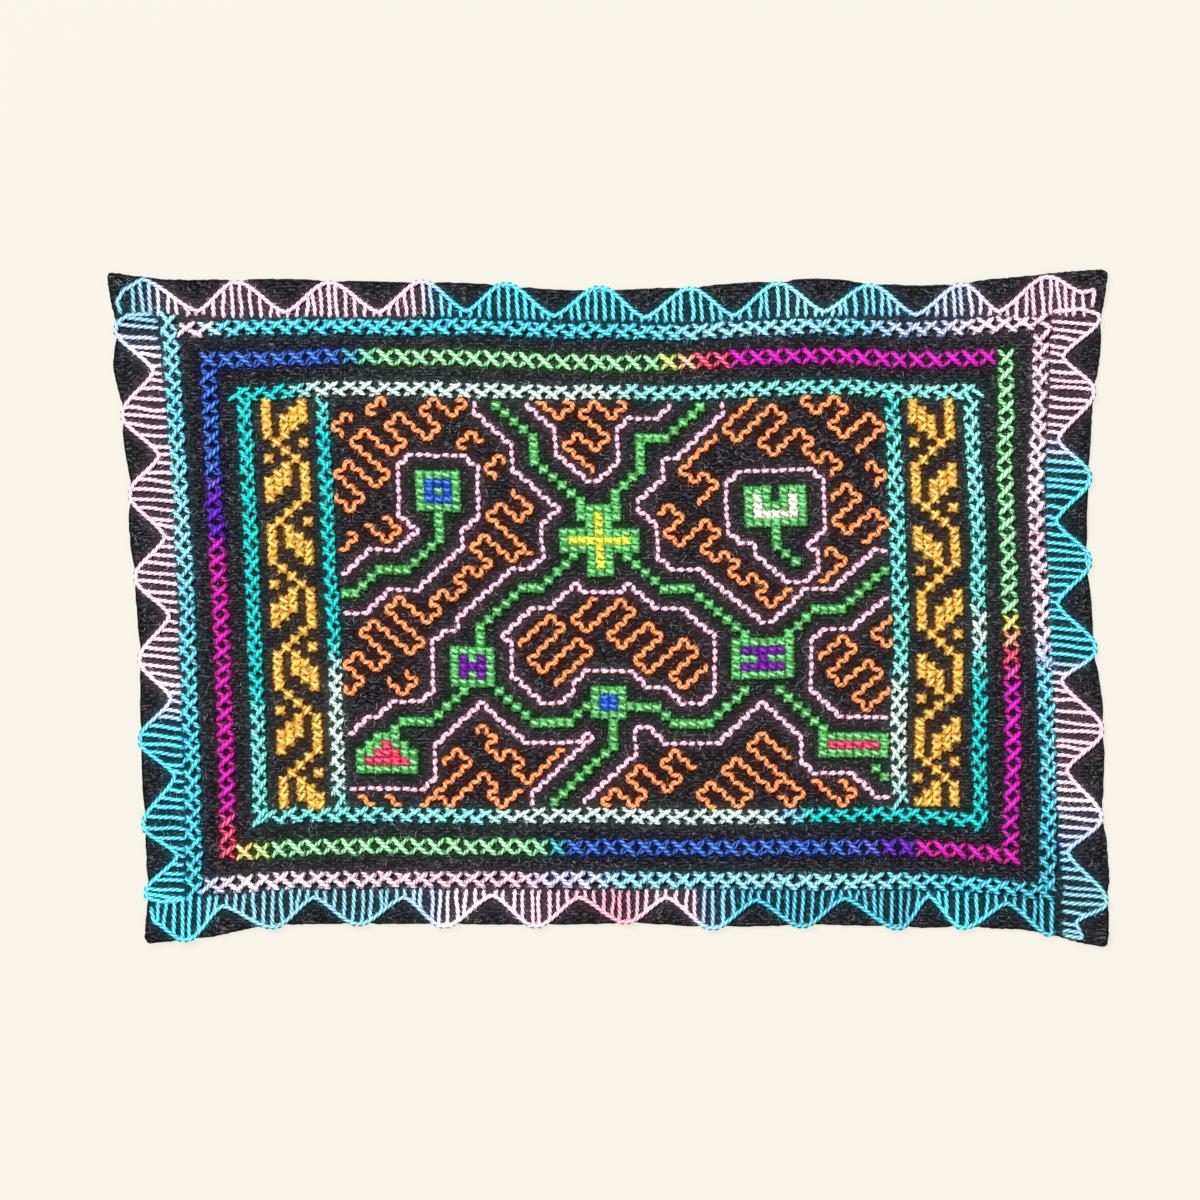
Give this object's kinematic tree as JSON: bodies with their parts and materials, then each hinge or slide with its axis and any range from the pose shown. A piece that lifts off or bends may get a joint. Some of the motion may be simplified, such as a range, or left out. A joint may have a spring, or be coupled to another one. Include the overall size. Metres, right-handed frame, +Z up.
{
  "type": "altar cloth",
  "caption": "Small flat rectangular altar cloth, black and hand embroidered, with a scalloped stitched border and a slightly wavy edge.",
  "frame": {"origin": "under the middle of the cloth's outline, on the surface that it lies on", "axes": "+X along the long sides, to the right in the picture; +Y across the cloth, up in the picture; +Z up out of the embroidered face"},
  "size_m": [0.3001, 0.2024, 0.0044],
  "materials": {
    "cloth": "matt coarse plain weave, black, covered in many-coloured hand embroidery"
  },
  "bodies": {
    "root": {"cloth": "cloth"}
  },
  "joints": []
}
